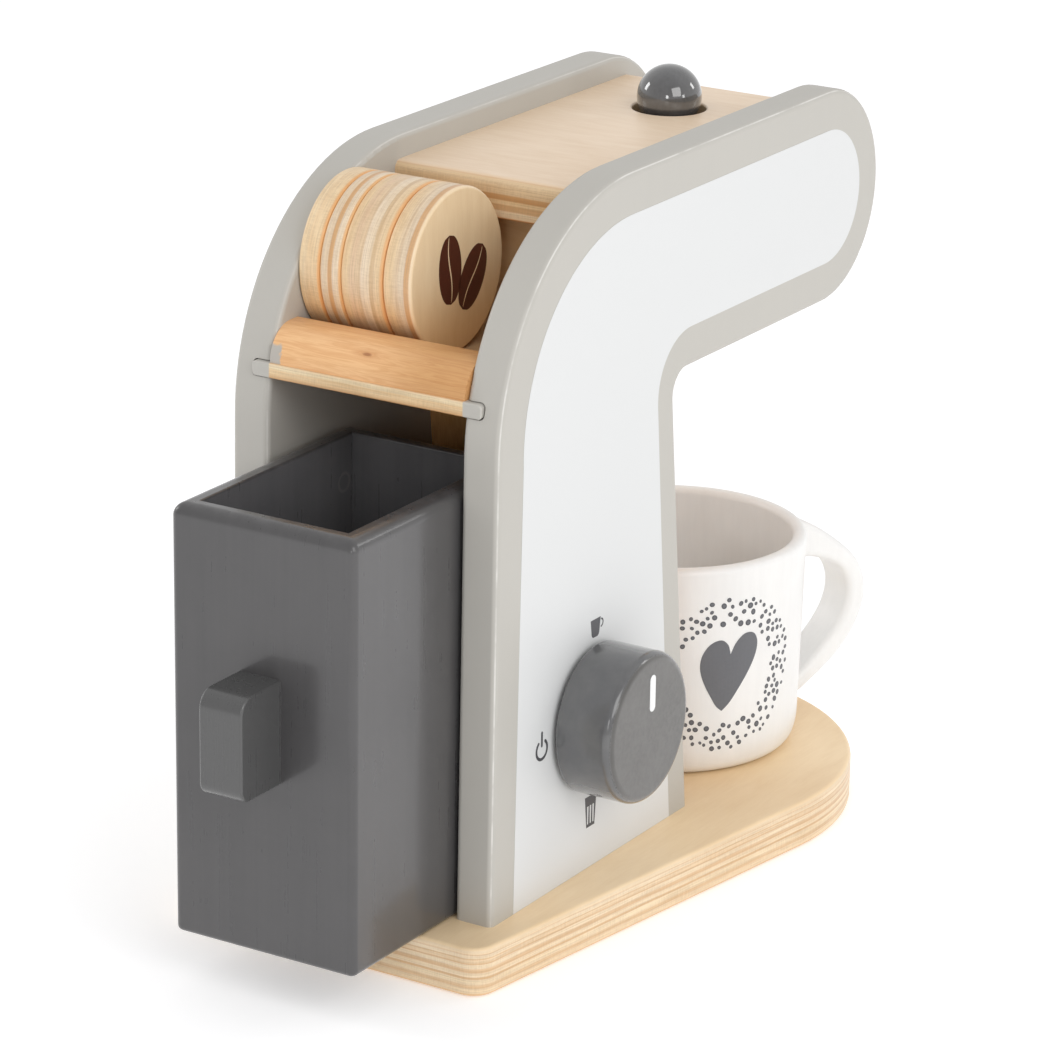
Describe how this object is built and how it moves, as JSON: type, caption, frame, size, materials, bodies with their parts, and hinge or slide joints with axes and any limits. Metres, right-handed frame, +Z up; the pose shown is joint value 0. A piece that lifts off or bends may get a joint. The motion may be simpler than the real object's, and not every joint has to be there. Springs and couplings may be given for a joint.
{
  "type": "toy coffee maker",
  "caption": "Wooden play coffee machine: turning knob, sprung ball button on the head, slide-out tank, loose discs in a top tray and a mug under the spout.",
  "frame": {"origin": "middle of the base board's flat underside, on the surface the toy stands on, midway between its sides and between its front and back ends", "axes": "+Z up; -Y is the front, where the mug stands under the head; +Y is the back, where the tank slides out; -X is the side with the turning knob"},
  "size_m": [0.1204, 0.2422, 0.1849],
  "materials": {
    "base_wood": "clear lacquered plywood with its layers showing at the edge",
    "panel_paint": "warm grey satin lacquer on plywood, white print on the knob side",
    "tank_paint": "dark grey satin lacquer with faint brush marks",
    "knob_paint": "dark grey satin lacquer with a white pointer",
    "ply_wood": "clear lacquered plywood",
    "rail_wood": "clear lacquered softwood strip",
    "disc_wood": "clear lacquered plywood disc",
    "ball_lacquer": "dark grey gloss lacquer",
    "plain_wood": "bare beech",
    "mug_white": "smooth off-white, semi gloss",
    "steel": "zinc plated"
  },
  "bodies": {
    "machine": {"base_board": "base_wood", "side_panel_knob": "panel_paint", "side_panel_plain": "panel_paint", "shelf_board": "ply_wood", "retaining_rail": "rail_wood", "head_top_board": "ply_wood", "head_back_board": "ply_wood", "head_front_board": "ply_wood", "head_bottom_board": "ply_wood", "column_front_board": "ply_wood", "button_guide_block": "plain_wood", "coffee_spout": "plain_wood", "panel_dowels": "plain_wood", "base_screws": "steel", "button_spring": "steel"},
    "knob_body": {"knob": "knob_paint", "knob_axle": "plain_wood", "knob_washer": "steel"},
    "button": {"button_ball": "ball_lacquer", "button_stem": "plain_wood", "button_spring_seat": "plain_wood", "button_stop_collar": "plain_wood"},
    "tank": {"tank_back_board": "tank_paint", "tank_front_board": "tank_paint", "tank_side_knob": "tank_paint", "tank_side_plain": "tank_paint", "tank_bottom_board": "tank_paint", "tank_handle": "tank_paint", "tank_handle_screw": "steel"},
    "disc_1": {"bean_disc_1": "disc_wood"},
    "disc_2": {"bean_disc_2": "disc_wood"},
    "disc_3": {"bean_disc_3": "disc_wood"},
    "disc_4": {"bean_disc_4": "disc_wood"},
    "mug_body": {"mug": "mug_white"}
  },
  "joints": [
    {"name": "knob_turn", "type": "hinge", "parent": "machine", "child": "knob_body", "pos_m": [-0.0376, 0.0384, 0.0509], "axis": [-1, 0, 0], "continuous": true},
    {"name": "button_press", "type": "slide", "parent": "machine", "child": "button", "axis": [0, 0, -1], "range_m": [0, 0.0045], "stiffness_N_per_m": 400, "springref_m": -0.0015, "deforming": ["button_spring"]},
    {"name": "tank_slide", "type": "slide", "parent": "machine", "child": "tank", "axis": [0, 1, 0], "range_m": [-0.0388, 0.029]},
    {"name": "disc_1_lift", "type": "slide", "parent": "machine", "child": "disc_1", "axis": [0, 0, 1], "range_m": [0, 0.06]},
    {"name": "disc_2_lift", "type": "slide", "parent": "machine", "child": "disc_2", "axis": [0, 0, 1], "range_m": [0, 0.06]},
    {"name": "disc_3_lift", "type": "slide", "parent": "machine", "child": "disc_3", "axis": [0, 0, 1], "range_m": [0, 0.06]},
    {"name": "disc_4_lift", "type": "slide", "parent": "machine", "child": "disc_4", "axis": [0, 0, 1], "range_m": [0, 0.06]},
    {"name": "mug_slide", "type": "slide", "parent": "machine", "child": "mug_body", "axis": [0, -1, 0], "range_m": [0, 0.11]}
  ]
}
